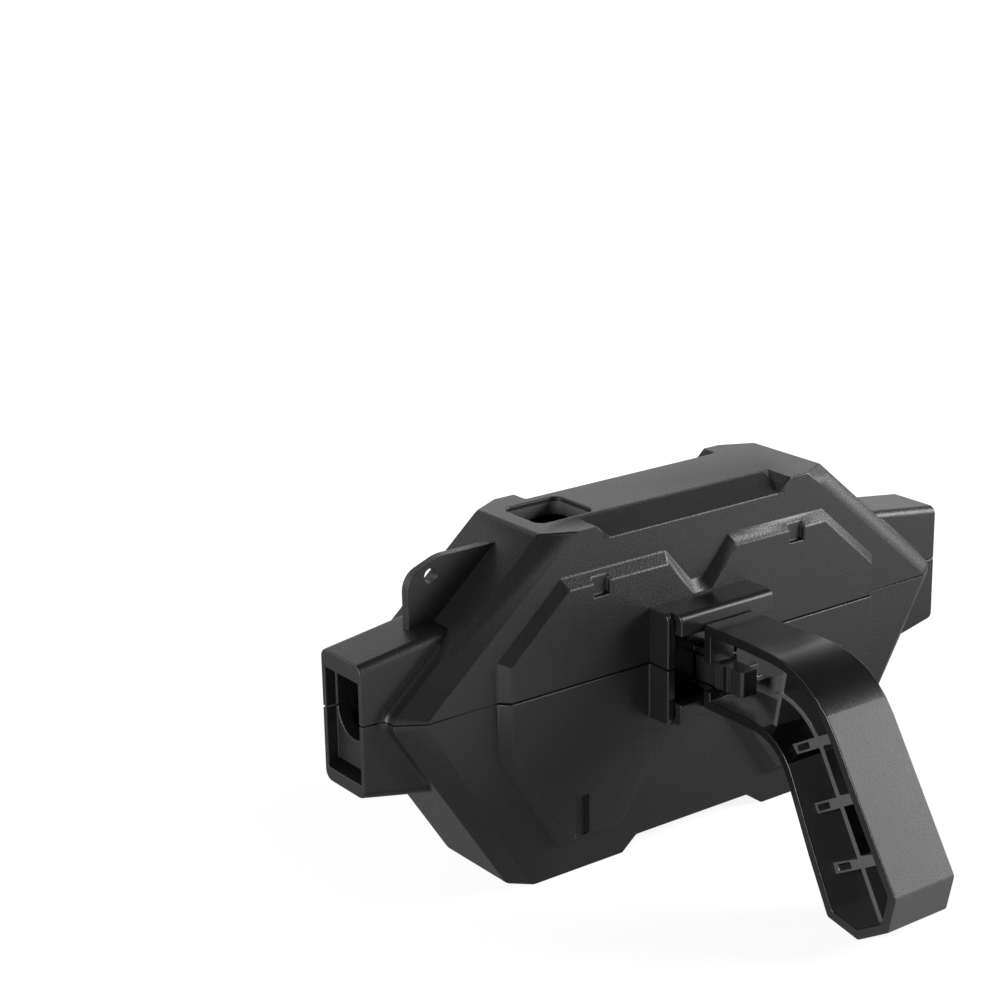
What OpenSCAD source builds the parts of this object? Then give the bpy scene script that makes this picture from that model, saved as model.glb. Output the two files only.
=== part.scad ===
// Bike chain cleaner: a hinged case that closes round the lower run of a chain,
// with four brush wheels inside and a handle that slides onto its front.
// X runs along the chain, -Y is the handle side and +Z is up. The origin is on the
// chain line, in the middle of the case, on the plane where the two halves part.

/* [Chain ports] */
// Distance between the open ends of the two chain ports
port_span = 220; // [212:1:236]
// Outside width of a chain port
port_w = 19.8; // [18:0.2:22]
// Height of a port's open end above the parting plane
port_up = 17.3; // [15:0.1:20]
// Depth of a port's open end below the parting plane
port_down = 21.6; // [19:0.1:25]
// Distance between the places where the ports meet the case
port_root_span = 168; // [160:1:174]
// Height of a port where it meets the case
port_root_up = 20.9; // [18:0.1:23]
// Depth of a port where it meets the case
port_root_down = 27; // [24:0.1:30]
// Width of the notch that the chain runs through
chain_notch_w = 15.2; // [12:0.2:15.8]

/* [Case] */
// Width of the front and rear faces at the parting plane
face_w = 191; // [184:1:198]
// Width of the front and rear faces at the top
face_top_w = 87.2; // [80:0.2:94]
// Width of the front and rear faces at the bottom
face_bottom_w = 121.4; // [114:0.2:130]
// Height of the lid above the parting plane
lid_h = 43.9; // [42:0.1:50]
// Depth of the lower case below the parting plane
base_h = 58.8; // [56:0.1:66]
// Distance between the front and rear faces
case_t = 38.8; // [37:0.2:44]
// Thickness of the middle rib that runs round the edge of the case
rim_t = 28.6; // [26:0.2:32]
// How far the middle rib stands out beside the faces
rim_out = 8.6; // [6:0.1:10]
// Wall thickness of both halves
wall = 2.4; // [2:0.1:3]
// Height of the raised panels on the front and rear faces
panel_h = 3; // [2:0.1:3.4]
// Clearance between the two halves along the parting plane
parting_gap = 0.3; // [0.2:0.05:0.5]

/* [Lanyard tab] */
// Thickness of the tab
tab_t = 3; // [2:0.1:5]
// Radius of the hole in the tab
tab_hole_r = 2.1; // [1.6:0.1:2.6]

/* [Filler hole] */
// Length of the filler hole along the chain
filler_len = 20; // [16:0.5:22]
// Width of the filler hole
filler_w = 18; // [14:0.5:19]

/* [Handle] */
// Width of the handle's arm where it leaves the case
arm_w = 18.8; // [16:0.2:20]
// Width of the handle's grip at its end
grip_w = 22.6; // [20:0.2:26]
// Thickness of the handle's flanges, web and ribs
handle_wall = 2.8; // [2.2:0.1:3.4]
// Height of the arm's top above the parting plane
arm_up = 12.4; // [11:0.1:14]
// Depth of the arm's underside below the parting plane
arm_down = 12.9; // [11:0.1:14]

/* [Handle rail] */
// Length of the rail that the handle slides onto
rail_len = 35; // [30:0.5:38]
// Half height of the rail
rail_up = 16.8; // [16:0.1:19]
// How far the rail stands out from the raised panel
rail_out = 11; // [10:0.1:13]
// Half height of the opening between the rail's two lips
rail_mouth = 10.3; // [9.8:0.1:11]

/* [Brush wheels] */
// Radius of a brush wheel over its bristles
brush_r = 16.7; // [14:0.1:16.8]
// Width of a brush wheel
brush_w = 23; // [18:0.5:24]
// Radius of a brush wheel's drum
drum_r = 6.5; // [5.5:0.1:8]
// Radius of the steel axles
axle_r = 2; // [1.5:0.1:2.5]
// Distance between the axles of neighbouring wheels
axle_pitch = 42; // [38:0.5:43]
// Height of the lid's axles above the chain line, and of the lower ones below it
axle_z = 21; // [20.8:0.1:21.4]

/* [Hinge] */
// Radius of the hinge barrel
barrel_r = 3.4; // [3:0.1:3.5]
// Radius of the hinge pin
hinge_pin_r = 1.5; // [1:0.1:1.8]
// Length of the hinge
hinge_len = 86; // [70:1:110]

/* [Sponge] */
// Length of the sponge pads along the chain
sponge_len = 18; // [12:0.5:19]
// Width of the sponge pads
sponge_w = 30; // [24:0.5:32]

/* [Hidden] */
$fn = 48;

// Cuts run this far past the surface that they open
overrun = 1;
// Running clearance of a shaft in its bore, and clearance between bodies that pass
fit_gap = 0.06;
pass_gap = 0.3;
// Steps in a rounded corner of an outline
corner_steps = 6;

// Case
face_y = case_t / 2;
panel_y = face_y + panel_h;
inner_y = panel_y - wall;
rim_out_top_share = 1.13;
rim_out_bottom_share = 0.62;
foot_r = 2.5;
face_side_r = 1.5;
rim_side_r = 4;
top_r = 2.5;
parting_z = parting_gap / 2;
// Front and rear notches in the lid's top edge
notch_top_w = 73;
notch_bottom_w = 63.8;
notch_drop = 4.1;
notch_front_deep = 9;
notch_rear_deep = 5.8;
// Relief under the case, which leaves a foot at each end
relief_w = 55;
relief_top_w = 44.4;
relief_h = 4.3;
// Raised panel
panel_w = 144;
panel_side_up = 11.9;
panel_side_down = 16.5;
panel_top_w = 99.6;
panel_top_z = 31.4;
panel_bottom_w = 103.2;
panel_bottom_z = 49.4;
vee_top_w = 23.6;
vee_bottom_w = 4.4;
vee_z = 20.4;
arch_bottom_w = 57.6;
arch_top_w = 20;
arch_z = 23;
arch_over_share = 1.3;
// Snap pockets in the raised panels
pocket_x = 37.1;
pocket_w = 5.8;
pocket_top = 31;
pocket_h = 6.5;
low_pocket_x = 44.7;
low_pocket_w = 5.2;
low_pocket_top = 34.6;
low_pocket_h = 12.6;
pocket_deep = 1.6;

// Ports
frame_deep = 3.5;
dam_t = 4;
frame_side = 1.7;
frame_top = 12;
frame_bottom = 17.6;
drain_h = 2;
port_inner_x = port_span / 2 - frame_deep - dam_t;
port_top_r = 2.5;
port_low_r = 3;
// Concave blend between a port's sides and the middle rib
blend_r = 2;

// Tab, in distances from the case's middle and above the parting plane
tab_top = 39.4;
tab_top_x = 77.3;
tab_far_x = 88.4;
tab_corner_z = 35.3;
tab_hole_x = 80.6;
tab_hole_z = 34.4;
tab_top_share = 1;
tab_far_share = 0.55;
tab_edge = norm([tab_far_x - tab_top_x, tab_top - tab_corner_z]);

// Filler hole
filler_x = 37.6;
filler_y = 1.4;
filler_round = 3;
skirt_h = 5.4;
skirt_t = 1.6;

// Rail on the front, whose halves belong to the lid and the lower case
rail_left = -rail_len / 2;
rail_wall = 1.8;
rail_lip = 2.4;
rail_r = 2;
stop_t = 2.5;
stop_out = 8.1;
rail_front_y = panel_y + rail_out;

// Handle: its foot runs in the rail, and its arm bends down into the grip
foot_gap = 0.3;
foot_web_t = 3;
foot_bevel = 1.1;
foot_short = 1.2;
arm_start_y = rail_front_y + pass_gap;
arm_top_run = 45.6;
arm_low_run = 31.5;
grip_front = [33.4, 53.7];
grip_rear = [22.4, 43.7];
tip_front = [-2.4, 10.8];
tip_low = [-13.4, 17.5];
bend_outer_r = 31;
bend_inner_r = 15.8;
tip_round = 1.5;
taper_start = 50;
taper_end = 80;
window_w = 15;
window_low = 7.1;
window_far_low = 0.3;
window_bend = 2.5;
neck_window_low = 3;
neck_window_top = 5;
// Ribs on the web: a spine, ribs across the grip with a pit in each, and one across the arm
rib_h = 14.5;
rib_t = 1.6;
cross_rib_t = 3;
cross_rib_count = 3;
cross_rib_first_share = 0.19;
cross_rib_step_share = 0.305;
pit_t = 1.8;
pit_len = 5;
arm_rib_top_run = 30;
arm_rib_low_run = 24.8;

// Release lever in the arm
lever_w = 5.6;
lever_len = 12.5;
lever_h = 7.6;
lever_mid_z = -3.2;
lever_x = -3.1;
lever_slot_gap = 0.6;
lever_pin_r = 1;
lever_pin_over = 2;
lever_pivot_in = 2.4;
lever_pivot_y = arm_start_y + lever_pivot_in - handle_wall;
lever_rib_count = 4;
lever_rib_pitch = 1.6;
lever_rib_t = 0.8;
lever_rib_out = 0.6;
lever_tip_r = 1.2;

// Brush wheels
flange_t = 1.4;
flange_over = 3;
tuft_r = 1.1;
tuft_in = 0.6;
tuft_rows = 4;
tufts_round = 10;
axle_len = 33.4;
cradle_w = 8;
cradle_inner_y = brush_w / 2 + 2 * pass_gap;
cradle_over = 4;

// Side brushes, beside the chain on the left
side_len = 20;
side_gap = 0.6;
side_mid_x = -panel_w / 2 + panel_h + wall + side_gap + side_len / 2;
side_top = -0.6;
side_h = 9;
side_tip_y = 4.6;
side_tuft_r = 0.9;
side_columns = 6;
side_rows = 3;

// Sponge pads on the right, each in a tray
sponge_start_x = 43;
sponge_near_z = 4.3;
sponge_far_z = 18;
tray_t = 2;
tray_lip_z = 6;

// Hinge, whose barrel stands clear of the rear panel
hinge_clear = 0.4;
hinge_y = panel_y + barrel_r + hinge_clear;
knuckle_count = 5;

// Magnet in the floor of the lower case
magnet_r = 7.5;
magnet_t = 3;
magnet_ring_t = 1.8;

// Closed outline from its right half, whose points run upwards
function both(half) = concat(half, [for (i = [len(half) - 1:-1:0]) [-half[i][0], half[i][1]]]);
function unit(v) = v / norm(v);
function turned(v) = [v[1], -v[0]];

// Outline moved inwards by d on every side; its points run counterclockwise
function inset(points, d) = [for (i = [0:len(points) - 1])
    let (
        n = len(points),
        before = turned(unit(points[i] - points[(i + n - 1) % n])),
        after = turned(unit(points[(i + 1) % n] - points[i]))
    )
    points[i] - d * (before + after) / (1 + before * after)];

// Arc that rounds the corner p between its neighbours a and b
function corner(a, p, b, r) = r == 0 ? [p] :
    let (
        u = unit(a - p),
        v = unit(b - p),
        half = acos(u * v) / 2,
        centre = p + unit(u + v) * r / sin(half),
        start = p + u * r / tan(half) - centre,
        finish = p + v * r / tan(half) - centre,
        from = atan2(start[1], start[0]),
        raw = atan2(finish[1], finish[0]) - from,
        sweep = raw > 180 ? raw - 360 : raw < -180 ? raw + 360 : raw
    )
    [for (k = [0:corner_steps]) let (t = from + sweep * k / corner_steps)
        centre + r * [cos(t), sin(t)]];

// Outline with each corner rounded by its own radius
function rounded(points, radii) = [for (i = [0:len(points) - 1])
    let (n = len(points))
    each corner(points[(i + n - 1) % n], points[i], points[(i + 1) % n], radii[i])];

// Corners of the front face and of the wider middle rib, and a radius for each
face_corners = both([[face_bottom_w / 2, -base_h], [face_w / 2, 0], [face_top_w / 2, lid_h]]);
rim_corners = both([
    [face_bottom_w / 2 + rim_out * rim_out_bottom_share, -base_h],
    [face_w / 2 + rim_out, 0],
    [face_top_w / 2 + rim_out * rim_out_top_share, lid_h]]);
face_radii = both_radii(foot_r, face_side_r, top_r);
rim_radii = both_radii(foot_r, rim_side_r, top_r);
function both_radii(low, middle, high) = [low, middle, high, high, middle, low];
function grown(radii, d) = [for (r = radii) r + d];
panel_half = [[panel_bottom_w / 2, -panel_bottom_z], [panel_w / 2, -panel_side_down],
    [panel_w / 2, panel_side_up], [panel_top_w / 2, panel_top_z],
    [vee_top_w / 2, panel_top_z], [vee_bottom_w / 2, vee_z]];
arch_half = [[arch_top_w / 2, -arch_z], [arch_bottom_w / 2, -panel_bottom_z]];
panel_outline = both(concat(arch_half, panel_half));
arch_outline = both([arch_half[0] + arch_over_share * (arch_half[1] - arch_half[0]), arch_half[0]]);
port_outline = both([
    [port_root_span / 2, -port_root_down], [port_span / 2, -port_down],
    [port_span / 2, port_up], [port_root_span / 2, port_root_up]]);

// Section of a port, and of the bar that its concave blends keep within
function port_section(down, up) = rounded(both([[port_w / 2, -down], [port_w / 2, up]]),
    [port_low_r, port_top_r, port_top_r, port_low_r]);
function blend_section(down, up) = both([
    [port_w / 2 - port_low_r, -down], [port_w / 2 + blend_r, -down + port_low_r + blend_r],
    [port_w / 2 + blend_r, up - port_top_r - blend_r], [port_w / 2 - port_top_r, up]]);

// Solid skinned through rings of [y, outline], which all have as many points
module loft(rings) {
    n = len(rings[0][1]);
    last = len(rings) - 1;
    points = [for (ring = rings) for (p = ring[1]) [p[0], ring[0], p[1]]];
    sides = [for (k = [0:last - 1]) for (i = [0:n - 1]) let (j = (i + 1) % n)
        [k * n + i, k * n + j, (k + 1) * n + j, (k + 1) * n + i]];
    near = [for (i = [n - 1:-1:0]) i];
    far = [for (i = [0:n - 1]) last * n + i];
    polyhedron(points, concat([near], sides, [far]), convexity = 6);
}

// Outline in X and Z, extruded along Y between two places
module slab(outline, from_y, to_y) {
    translate([0, to_y, 0]) rotate([90, 0, 0])
        linear_extrude(height = to_y - from_y, convexity = 6) polygon(outline);
}

// Outline in distance from the case's middle plane and height, extruded along X
module beam(outline, from_x, to_x) {
    translate([from_x, 0, 0]) rotate([90, 0, 90])
        linear_extrude(height = to_x - from_x, convexity = 6) polygon(outline);
}

// Box given by its lowest and highest corners
module box(low, high) {
    translate(low) cube(high - low);
}

module upper_half() {
    intersection() {
        children();
        box([-port_span, -port_span, parting_z], [port_span, port_span, port_span]);
    }
}

module lower_half() {
    intersection() {
        children();
        box([-port_span, -port_span, -port_span], [port_span, port_span, -parting_z]);
    }
}

module relief(grow) {
    slab([[-relief_w / 2 - grow, -base_h - overrun], [relief_w / 2 + grow, -base_h - overrun],
        [relief_w / 2 + grow, -base_h], [relief_top_w / 2 + grow, -base_h + relief_h + grow],
        [-relief_top_w / 2 - grow, -base_h + relief_h + grow], [-relief_w / 2 - grow, -base_h]],
        -panel_y - overrun, panel_y + overrun);
}

// Notch in the top edge of the lid; deep is its reach in from the face
module top_notch(deep) {
    intersection() {
        beam([[-face_y - overrun, lid_h + overrun], [-face_y + deep, lid_h + overrun],
            [-face_y + deep, lid_h], [-face_y, lid_h - notch_drop],
            [-face_y - overrun, lid_h - notch_drop]], -notch_top_w / 2, notch_top_w / 2);
        slab([[-notch_bottom_w / 2, lid_h - notch_drop], [notch_bottom_w / 2, lid_h - notch_drop],
            [notch_top_w / 2, lid_h], [notch_top_w / 2, lid_h + overrun],
            [-notch_top_w / 2, lid_h + overrun], [-notch_top_w / 2, lid_h]],
            -face_y - overrun, face_y + overrun);
    }
}

module raised_panel() {
    whole = both(panel_half);
    difference() {
        loft([[-panel_y, inset(whole, panel_h)], [-face_y, whole], [-inner_y + panel_h, whole]]);
        loft([[-panel_y - overrun, inset(arch_outline, -panel_h - overrun)],
            [-face_y, arch_outline]]);
    }
}

// Pockets in the raised panels; grow gives the thickness kept round them inside
module snap_pockets(grow) {
    for (side = [-1, 1]) {
        pocket(side * pocket_x, pocket_w, pocket_top - pocket_h, pocket_top, grow);
        pocket(side * low_pocket_x, low_pocket_w, -low_pocket_top - low_pocket_h,
            -low_pocket_top, grow);
    }
}

module pocket(x, w, low, high, grow) {
    box([x - w / 2 - grow, -panel_y - overrun, low - grow],
        [x + w / 2 + grow, -panel_y + pocket_deep + grow, high + grow]);
}

// Plain hexagonal body between the front and rear faces
module shell_loft() {
    face = rounded(face_corners, face_radii);
    rim = rounded(rim_corners, rim_radii);
    loft([[-face_y, face], [-rim_t / 2, rim], [rim_t / 2, rim], [face_y, face]]);
}

// Bar through the case from one port's end to the other's, skinned through two sections
module port_bar(end, root) {
    rotate([0, 0, 90])
        loft([[-port_span / 2, end], [-port_root_span / 2, root],
            [port_root_span / 2, root], [port_span / 2, end]]);
}

// Concave blends beside the ports, as rings that swell towards the port's side
module port_blends() {
    swell = [for (k = [0:corner_steps]) blend_r * (1 - sqrt(1 - pow(k / corner_steps, 2)))];
    reach = [for (k = [0:corner_steps]) port_w / 2 + blend_r * (1 - k / corner_steps)];
    near = [for (k = [0:corner_steps]) [-reach[k], rim_ring(swell[k])]];
    far = [for (k = [corner_steps:-1:0]) [reach[k], rim_ring(swell[k])]];
    intersection() {
        loft(concat(near, far));
        port_bar(blend_section(port_down, port_up), blend_section(port_root_down, port_root_up));
    }
}

function rim_ring(out) = rounded(inset(rim_corners, -out), grown(rim_radii, out));

// Outside of the closed case, both halves
module case_outside() {
    difference() {
        union() {
            shell_loft();
            raised_panel();
            mirror([0, 1, 0]) raised_panel();
            port_bar(port_section(port_down, port_up), port_section(port_root_down, port_root_up));
            port_blends();
        }
        relief(0);
        top_notch(notch_front_deep);
        mirror([0, 1, 0]) top_notch(notch_rear_deep);
        snap_pockets(0);
        mirror([0, 1, 0]) snap_pockets(0);
        for (side = [0, 1]) mirror([side, 0, 0]) port_mouth();
    }
}

// Recess in the open end of a port, with the chain notch and the drain slot in its dam
module port_mouth() {
    half = port_w / 2 - frame_side;
    mouth_x = port_span / 2 - frame_deep;
    box([mouth_x, -half, -frame_bottom], [port_span / 2 + overrun, half, frame_top]);
    box([port_inner_x - overrun, -half, -frame_bottom],
        [mouth_x + overrun, half, -frame_bottom + drain_h]);
    box([port_inner_x - overrun, -chain_notch_w / 2, 0],
        [mouth_x + overrun, chain_notch_w / 2, frame_top]);
    translate([port_inner_x - overrun, 0, 0]) rotate([0, 90, 0])
        cylinder(r = chain_notch_w / 2, h = dam_t + 2 * overrun);
}

// Hollow of the closed case, both halves
module case_inside() {
    difference() {
        union() {
            loft([[-face_y + wall, inset(face_corners, wall)],
                [-rim_t / 2 + wall / 2, inset(rim_corners, wall)],
                [rim_t / 2 - wall / 2, inset(rim_corners, wall)],
                [face_y - wall, inset(face_corners, wall)]]);
            slab(inset(panel_outline, panel_h + wall), -inner_y, inner_y);
            intersection() {
                slab(inset(port_outline, wall), -port_w / 2 + wall, port_w / 2 - wall);
                box([-port_inner_x, -port_w, -port_span], [port_inner_x, port_w, port_span]);
            }
        }
        relief(wall);
        snap_pockets(wall / 2);
        mirror([0, 1, 0]) snap_pockets(wall / 2);
        notch_cover(notch_front_deep + wall);
        mirror([0, 1, 0]) notch_cover(notch_rear_deep + wall);
    }
}

// Thickness that the lid keeps under a top notch
module notch_cover(deep) {
    beam([[-face_y - overrun, lid_h], [-face_y + deep, lid_h], [-face_y + deep, lid_h - wall],
        [-face_y, lid_h - notch_drop - wall], [-face_y - overrun, lid_h - notch_drop - wall]],
        -notch_top_w / 2 - wall, notch_top_w / 2 + wall);
}

// Half of the rail: a wall, a lip and half of the end stop, above the parting plane
module rail_half() {
    beam(rounded([[-rail_front_y, rail_mouth], [-rail_front_y + rail_lip, rail_mouth],
        [-rail_front_y + rail_lip, rail_up - rail_wall], [-inner_y, rail_up - rail_wall],
        [-inner_y, rail_up], [-rail_front_y, rail_up]], [0, 0, 0, 0, 0, rail_r]),
        rail_left, rail_left + rail_len);
    beam(rounded([[-panel_y - stop_out, 0], [-inner_y, 0], [-inner_y, rail_up],
        [-panel_y - stop_out, rail_up]], [0, 0, 0, rail_r]), rail_left - stop_t, rail_left);
}

// Cradle for an axle end, above or below the chain, open towards the parting plane
module cradle(x) {
    top = lid_h - wall / 2;
    difference() {
        box([x - cradle_w / 2, cradle_inner_y, axle_z - cradle_over],
            [x + cradle_w / 2, inner_y + wall / 2, top]);
        translate([x, axle_len / 2 + pass_gap, axle_z]) rotate([90, 0, 0])
            cylinder(r = axle_r + fit_gap, h = axle_len + 2 * pass_gap);
        box([x - axle_r, cradle_inner_y - overrun, 0], [x + axle_r, axle_len / 2 + pass_gap, axle_z]);
    }
}

module cradles() {
    for (x = [-axle_pitch / 2, axle_pitch / 2])
        for (side = [0, 1]) mirror([0, side, 0]) cradle(x);
}

// Tray that holds a sponge pad above the chain
module sponge_tray() {
    far = sponge_far_z + tray_t;
    box([sponge_start_x - tray_t, -inner_y - wall / 2, sponge_far_z],
        [sponge_start_x + sponge_len + tray_t, inner_y + wall / 2, far]);
    for (x = [sponge_start_x - tray_t, sponge_start_x + sponge_len])
        box([x, -inner_y - wall / 2, tray_lip_z], [x + tray_t, inner_y + wall / 2, far]);
}

// Knuckles of the hinge: those of one half have odd or even places along it
module knuckles(first, arm_low, arm_high) {
    step = hinge_len / knuckle_count;
    for (k = [first:2:knuckle_count - 1]) {
        from_x = -hinge_len / 2 + k * step + pass_gap / 2;
        translate([from_x, hinge_y, 0]) rotate([0, 90, 0])
            difference() {
                cylinder(r = barrel_r, h = step - pass_gap);
                translate([0, 0, -overrun]) cylinder(r = hinge_pin_r + fit_gap, h = step + overrun);
            }
        difference() {
            box([from_x, inner_y + wall / 2, arm_low], [from_x + step - pass_gap, hinge_y, arm_high]);
            translate([from_x - overrun, hinge_y, 0]) rotate([0, 90, 0])
                cylinder(r = hinge_pin_r + fit_gap, h = step + 2 * overrun);
        }
    }
}

module lower_case() {
    color([0.09, 0.09, 0.1]) {
        lower_half() difference() {
            case_outside();
            case_inside();
        }
        lower_half() intersection() {
            case_outside();
            union() {
                mirror([0, 0, 1]) cradles();
                mirror([0, 0, 1]) sponge_tray();
                magnet_ring();
            }
        }
        lower_half() mirror([0, 0, 1]) rail_half();
        knuckles(0, -barrel_r, -parting_z);
    }
}

module magnet_ring() {
    floor_z = -base_h + relief_h + wall;
    translate([0, 0, floor_z - wall / 2]) difference() {
        cylinder(r = magnet_r + magnet_ring_t, h = magnet_t + wall / 2);
        translate([0, 0, wall / 2]) cylinder(r = magnet_r + fit_gap, h = magnet_t + overrun);
    }
}

module filler_outline(grow) {
    x = filler_len / 2 + grow;
    y = filler_w / 2 + grow;
    r = filler_round + grow;
    translate([-filler_x, filler_y])
        polygon(rounded([[-x, -y], [x, -y], [x, y], [-x, y]], [r, r, r, r]));
}

module lanyard_tab() {
    difference() {
        slab(rounded([[-face_top_w / 2, tab_top], [-tab_top_x, tab_top], [-tab_far_x, tab_corner_z],
            [-tab_far_x, port_root_up - wall], [-face_top_w / 2, port_root_up - wall]],
            [0, tab_edge * tab_top_share, tab_edge * tab_far_share, 0, 0]), -tab_t / 2, tab_t / 2);
        translate([-tab_hole_x, tab_t, tab_hole_z]) rotate([90, 0, 0])
            cylinder(r = tab_hole_r, h = 2 * tab_t);
        case_inside();
    }
}

module lid() {
    color([0.1, 0.1, 0.11]) {
        difference() {
            union() {
                upper_half() difference() {
                    case_outside();
                    case_inside();
                }
                upper_half() intersection() {
                    case_outside();
                    union() {
                        cradles();
                        sponge_tray();
                        translate([0, 0, lid_h - skirt_h]) linear_extrude(height = skirt_h)
                            filler_outline(skirt_t);
                    }
                }
                upper_half() rail_half();
            }
            translate([0, 0, lid_h - skirt_h - overrun])
                linear_extrude(height = skirt_h + 2 * overrun) filler_outline(0);
        }
        lanyard_tab();
        knuckles(1, parting_z, barrel_r);
    }
}

module hinge_pin() {
    color([0.7, 0.7, 0.72])
        translate([-hinge_len / 2, hinge_y, 0]) rotate([0, 90, 0])
            cylinder(r = hinge_pin_r, h = hinge_len);
}

// Corners of the handle's side view, as distance from the case's middle plane and height
handle_corners = let (
        start = -arm_start_y,
        bend_top = [start - arm_top_run, arm_up],
        bend_low = [start - arm_low_run, -arm_down],
        front = bend_top - grip_front
    )
    [[start, arm_up], bend_top, front, front - tip_front, front - tip_low,
        bend_low - grip_rear, bend_low, [start, -arm_down]];
handle_outline = rounded(handle_corners,
    [0, bend_outer_r, tip_round, tip_round, tip_round, tip_round, bend_inner_r, 0]);
channel_outline = rounded(inset(handle_corners, handle_wall),
    [0, bend_outer_r - handle_wall, tip_round, tip_round, tip_round, tip_round,
        bend_inner_r + handle_wall, 0]);

// Plan of the handle between two sides, which both spread from the arm to the grip
module handle_plan(low_near, low_far, high_near, high_far) {
    near = -arm_start_y + overrun;
    far = -arm_start_y - arm_top_run - grip_front[0] - overrun;
    linear_extrude(height = 4 * grip_front[1], center = true)
        polygon([[low_near, near], [low_near, -taper_start], [low_far, -taper_end], [low_far, far],
            [high_far, far], [high_far, -taper_end], [high_near, -taper_start], [high_near, near]]);
}

// Channel of the arm and grip, open towards -X
module handle_channel() {
    difference() {
        intersection() {
            handle_plan(-arm_w / 2, -grip_w / 2, arm_w / 2, grip_w / 2);
            beam(handle_outline, -grip_w, grip_w);
        }
        intersection() {
            handle_plan(-grip_w, -grip_w, arm_w / 2 - handle_wall, grip_w / 2 - handle_wall);
            beam(channel_outline, -grip_w - overrun, grip_w);
        }
    }
}

// Band of thickness t along a path of three points, whose bend has radius r
function band(a, b, c, t, r) =
    let (
        before = turned(unit(b - a)),
        after = turned(unit(c - b)),
        at_bend = (before + after) / (1 + before * after)
    )
    rounded([a + before * t / 2, b + at_bend * t / 2, c + after * t / 2,
        c - after * t / 2, b - at_bend * t / 2, a - before * t / 2],
        [0, r + t / 2, 0, 0, r - t / 2, 0]);

// Middle of the handle's bend
function handle_bend() = [-arm_start_y - (arm_top_run + arm_low_run) / 2, (arm_up - arm_down) / 2];

// Ribs on the web: a spine down the middle, ribs across the grip and one across the arm
module handle_ribs() {
    start = -arm_start_y;
    bend = handle_bend();
    mean = (grip_front + grip_rear) / 2;
    lean = atan2(mean[0], mean[1]);
    run = norm(mean);
    low_x = grip_w / 2 - handle_wall - rib_h;
    spine_start = [start - (arm_rib_top_run + arm_rib_low_run) / 2, bend[1]];
    intersection() {
        handle_plan(low_x, low_x, (arm_w - handle_wall) / 2, (grip_w - handle_wall) / 2);
        beam(handle_outline, low_x, grip_w);
        union() {
            beam(band(spine_start, bend, bend - 2 * mean, rib_t, (bend_outer_r + bend_inner_r) / 2),
                low_x, grip_w);
            beam([[start - arm_rib_low_run, -arm_down], [start - arm_rib_top_run, arm_up],
                [start - arm_rib_top_run - rib_t, arm_up], [start - arm_rib_low_run - rib_t, -arm_down]],
                low_x, grip_w);
            translate([0, bend[0], bend[1]]) rotate([-lean, 0, 0])
                for (k = [0:cross_rib_count - 1])
                    translate([0, 0, -run * (cross_rib_first_share + k * cross_rib_step_share)])
                        cross_rib(low_x, run);
        }
    }
}

// Rib across the grip, with a pit beside the flange that faces the case
module cross_rib(low_x, run) {
    rear = inset(handle_corners, handle_wall)[6];
    back = (rear - handle_bend()) * turned(unit(grip_front + grip_rear));
    difference() {
        box([low_x, -run, -cross_rib_t / 2], [grip_w, run, cross_rib_t / 2]);
        box([low_x - overrun, back - pit_len, -pit_t / 2], [grip_w, back, pit_t / 2]);
    }
}

// Foot of the handle, which runs inside the rail
module handle_foot() {
    back = -panel_y - foot_gap;
    front = -rail_front_y + rail_lip + foot_gap;
    top = rail_up - rail_wall - foot_gap;
    beam([[front, -rail_mouth], [front + foot_bevel, -top], [back, -top], [back, top],
        [front + foot_bevel, top], [front, rail_mouth], [back - foot_web_t, rail_mouth],
        [back - foot_web_t, -rail_mouth]],
        rail_left + foot_gap, rail_left + rail_len - foot_short);
    box([lever_x + lever_w / 2 + lever_slot_gap, -arm_start_y - handle_wall / 2, -rail_mouth + foot_gap],
        [arm_w / 2, back - foot_web_t / 2, rail_mouth - foot_gap]);
}

module handle() {
    color([0.12, 0.12, 0.13]) difference() {
        union() {
            handle_channel();
            handle_ribs();
            handle_foot();
            lever_ears();
        }
        lever_pocket();
        web_window();
        translate([lever_x, -lever_pivot_y, lever_mid_z - lever_h])
            cylinder(r = lever_pin_r + fit_gap, h = 2 * lever_h);
    }
}

// Window through the web behind the release lever, and one through the neck above it
module web_window() {
    start = -arm_start_y - handle_wall;
    top = arm_up - handle_wall;
    beam([[start, -window_low], [start, top], [start - window_w, top],
        [start - window_w, -window_far_low], [start - window_bend, -window_low]],
        arm_w / 2 - handle_wall - overrun, grip_w);
    box([lever_x + lever_w / 2, start - overrun, -neck_window_low],
        [arm_w / 2 + overrun, -panel_y, neck_window_top]);
}

// Two ears that carry the lever's pin, above and below it
module lever_ears() {
    for (side = [-1, 1])
        translate([0, 0, lever_mid_z + side * (lever_h / 2 + lever_slot_gap + lever_pin_over / 2)])
            box([lever_x - lever_w / 2, -arm_start_y - handle_wall, -lever_pin_over / 2],
                [arm_w / 2, -panel_y - foot_gap - foot_web_t / 2, lever_pin_over / 2]);
}

// Room for the lever in the arm's root
module lever_pocket() {
    half = lever_h / 2 + lever_slot_gap;
    box([-grip_w, -arm_start_y - handle_wall - overrun, lever_mid_z - half],
        [lever_x + lever_w / 2 + lever_slot_gap, -panel_y - foot_gap - foot_web_t, lever_mid_z + half]);
}

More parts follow.
